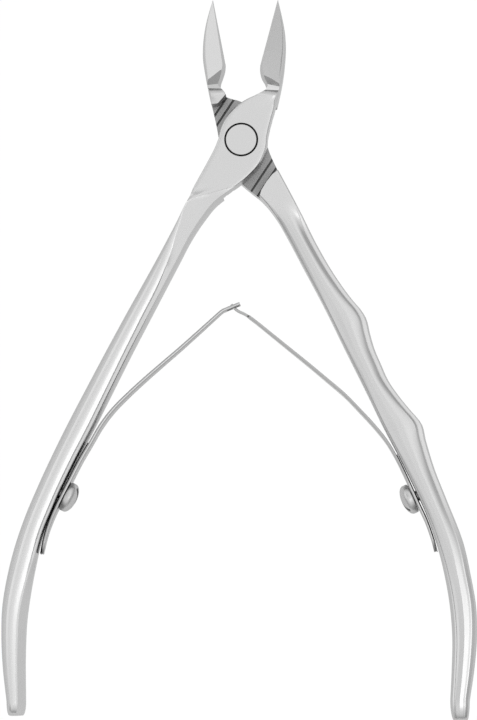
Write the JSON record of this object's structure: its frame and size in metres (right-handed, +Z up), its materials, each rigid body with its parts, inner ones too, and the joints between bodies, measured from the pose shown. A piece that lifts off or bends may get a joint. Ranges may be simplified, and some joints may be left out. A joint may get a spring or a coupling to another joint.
{
  "type": "cuticle nipper",
  "caption": "Stainless lap-joint cuticle nipper with one wavy handle, slotted screws and two hooked leaf springs, resting open.",
  "frame": {"origin": "Rivet axis where it meets the underside, which is the plane the nipper lies on.", "axes": "+Y along the jaws, +X to the right with the plain handle on the left, +Z up out of the face with the front half's lap."},
  "size_m": [0.079, 0.1206, 0.008],
  "materials": {
    "satin_steel": "satin ground stainless steel",
    "rivet_steel": "satin, ground flush",
    "spring_steel": "bright rolled spring strip",
    "screw_steel": "dull machined steel"
  },
  "bodies": {
    "front_half": {"front_half": "satin_steel", "pivot_rivet": "rivet_steel", "left_spring_foot": "spring_steel", "left_spring_screw": "screw_steel"},
    "back_half": {"back_half": "satin_steel", "right_spring_foot": "spring_steel", "right_spring_screw": "screw_steel"},
    "left_spring": {"left_spring_arm": "spring_steel"},
    "right_spring": {"right_spring_arm": "spring_steel"}
  },
  "joints": [
    {"name": "pivot", "type": "hinge", "parent": "front_half", "child": "back_half", "pos_m": [0, 0, 0.004], "axis": [0, 0, -1], "range_deg": [0, 24.8], "stiffness_Nm_per_rad": 0.7, "springref_deg": -1.15},
    {"name": "left_spring_flex", "type": "hinge", "parent": "front_half", "child": "left_spring", "pos_m": [-0.02262, -0.0464, 0.004], "axis": [0, 0, 1], "range_deg": [0, 17]},
    {"name": "right_spring_flex", "type": "hinge", "parent": "back_half", "child": "right_spring", "pos_m": [0.02094, -0.0465, 0.004], "axis": [0, 0, -1], "range_deg": [0, 13.5]}
  ],
  "couplings": [
    {"joint": "left_spring_flex", "follows": "pivot", "ratio": 0.648},
    {"joint": "right_spring_flex", "follows": "pivot", "ratio": 0.5}
  ]
}
